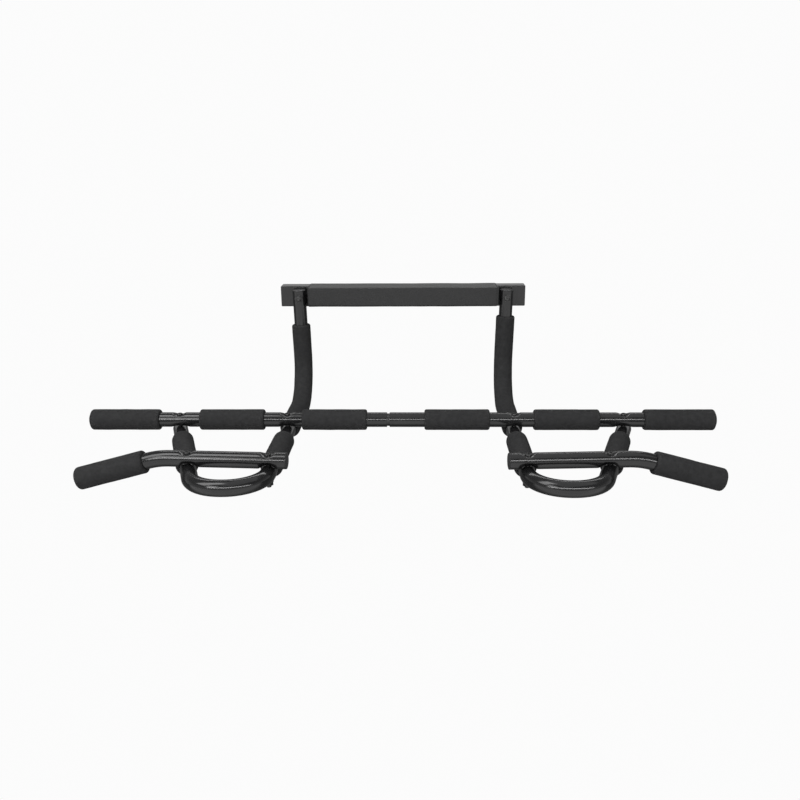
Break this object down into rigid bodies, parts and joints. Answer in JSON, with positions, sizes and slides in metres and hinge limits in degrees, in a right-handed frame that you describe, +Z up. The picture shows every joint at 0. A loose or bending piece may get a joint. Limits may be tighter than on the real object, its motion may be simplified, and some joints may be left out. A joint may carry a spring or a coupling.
{
  "type": "pull up bar",
  "caption": "Doorway pull-up bar: bracket on two bent arms, long main bar, two looped side frames and two angled handles, with foam grips.",
  "frame": {"origin": "middle of the pad's underside, the face that rests on top of the door casing, 11.5 mm behind the wall side of the pad", "axes": "+X along the main bar to the user's right, +Y away from the user through the doorway, +Z up"},
  "size_m": [0.934, 0.4765, 0.212],
  "materials": {
    "powder_coat": "semi-gloss black powder coat",
    "bare_steel": "drawn steel tube, oiled",
    "grip_foam": "matte closed-cell foam",
    "pad_foam": "dense matte foam pad",
    "cap_plastic": "moulded black polyethylene",
    "black_bolts": "black oxide button-head bolts",
    "black_nuts": "black oxide nuts and washers"
  },
  "bodies": {
    "root": {"door_bracket": "powder_coat", "main_bar_left": "powder_coat", "side_frame_left": "powder_coat", "upper_arm_left": "powder_coat", "handle_left": "powder_coat", "main_bar_right": "powder_coat", "side_frame_right": "powder_coat", "upper_arm_right": "powder_coat", "handle_right": "powder_coat", "bar_spigot": "bare_steel", "bar_grip_left_inner": "grip_foam", "bar_grip_left_middle": "grip_foam", "bar_grip_left_outer": "grip_foam", "bar_grip_right_inner": "grip_foam", "bar_grip_right_middle": "grip_foam", "bar_grip_right_outer": "grip_foam", "leg_grip_left_inner": "grip_foam", "leg_grip_left_outer": "grip_foam", "leg_grip_right_inner": "grip_foam", "leg_grip_right_outer": "grip_foam", "arm_sleeve_left": "grip_foam", "handle_grip_left": "grip_foam", "arm_sleeve_right": "grip_foam", "handle_grip_right": "grip_foam", "door_pad": "pad_foam", "bar_end_cap_left": "cap_plastic", "leg_cap_left": "cap_plastic", "arm_cap_left": "cap_plastic", "handle_tip_cap_left": "cap_plastic", "handle_inner_cap_left": "cap_plastic", "bar_end_cap_right": "cap_plastic", "leg_cap_right": "cap_plastic", "arm_cap_right": "cap_plastic", "handle_tip_cap_right": "cap_plastic", "handle_inner_cap_right": "cap_plastic", "frame_bolts": "black_bolts", "bracket_bolts": "black_bolts", "bar_joint_screws": "black_bolts", "frame_nuts": "black_nuts", "bracket_nuts": "black_nuts", "frame_saddle_washers": "black_nuts", "bracket_saddle_washers": "black_nuts", "bracket_washers": "black_nuts"}
  },
  "joints": []
}
